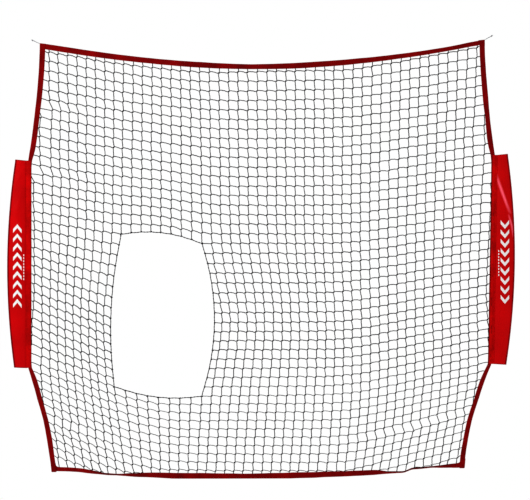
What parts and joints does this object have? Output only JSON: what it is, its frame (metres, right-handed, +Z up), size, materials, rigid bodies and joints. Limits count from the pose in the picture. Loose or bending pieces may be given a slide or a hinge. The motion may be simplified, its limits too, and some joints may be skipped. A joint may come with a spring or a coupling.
{
  "type": "pitching target net",
  "caption": "Square knotted-mesh pitching target net with a tall strike-zone opening, folded tape edges, side pole sleeves and top corner tie cords.",
  "frame": {"origin": "middle of the bottom edge, at the lowest point of the net, in the plane of the net", "axes": "+X to the right as the pitcher sees it, +Y away from the pitcher, +Z up"},
  "size_m": [2.4222, 0.03, 2.1172],
  "materials": {
    "mesh_twine": "matte",
    "border_cord": "matte",
    "binding_tape": "matte",
    "edge_cord": "matte",
    "corner_patch": "matte",
    "sleeve_fabric": "matte",
    "sleeve_hem": "matte",
    "tie_cord": "matte"
  },
  "bodies": {
    "net": {"vertical_twines": "mesh_twine", "horizontal_twines": "mesh_twine", "opening_border_cord": "border_cord", "binding_top": "binding_tape", "binding_bottom": "binding_tape", "binding_left": "binding_tape", "binding_right": "binding_tape", "edge_cord_top": "edge_cord", "edge_cord_bottom": "edge_cord", "edge_cord_left": "edge_cord", "edge_cord_right": "edge_cord", "corner_patch_top_left": "corner_patch", "corner_patch_top_right": "corner_patch", "corner_patch_bottom_left": "corner_patch", "corner_patch_bottom_right": "corner_patch"},
    "sleeve_left": {"sleeve_left": "sleeve_fabric", "sleeve_hem_left_top": "sleeve_hem", "sleeve_hem_left_bottom": "sleeve_hem"},
    "sleeve_right": {"sleeve_right": "sleeve_fabric", "sleeve_hem_right_top": "sleeve_hem", "sleeve_hem_right_bottom": "sleeve_hem"},
    "tie_left": {"tie_cord_left": "tie_cord", "tie_knot_left": "tie_cord"},
    "tie_right": {"tie_cord_right": "tie_cord", "tie_knot_right": "tie_cord"}
  },
  "joints": [
    {"name": "left_sleeve_swing", "type": "hinge", "parent": "net", "child": "sleeve_left", "pos_m": [-1.1132, 0, 1.0235], "axis": [0, 0, 1], "range_deg": [-90, 90]},
    {"name": "right_sleeve_swing", "type": "hinge", "parent": "net", "child": "sleeve_right", "pos_m": [1.1107, 0, 1.046], "axis": [0.017, 0, 0.9999], "range_deg": [-90, 90]},
    {"name": "left_tie_swing", "type": "hinge", "parent": "net", "child": "tie_left", "pos_m": [-1.059, 0, 2.0775], "axis": [0, 1, 0], "range_deg": [-50, 50]},
    {"name": "right_tie_swing", "type": "hinge", "parent": "net", "child": "tie_right", "pos_m": [1.071, 0, 2.0955], "axis": [0, 1, 0], "range_deg": [-50, 50]}
  ]
}
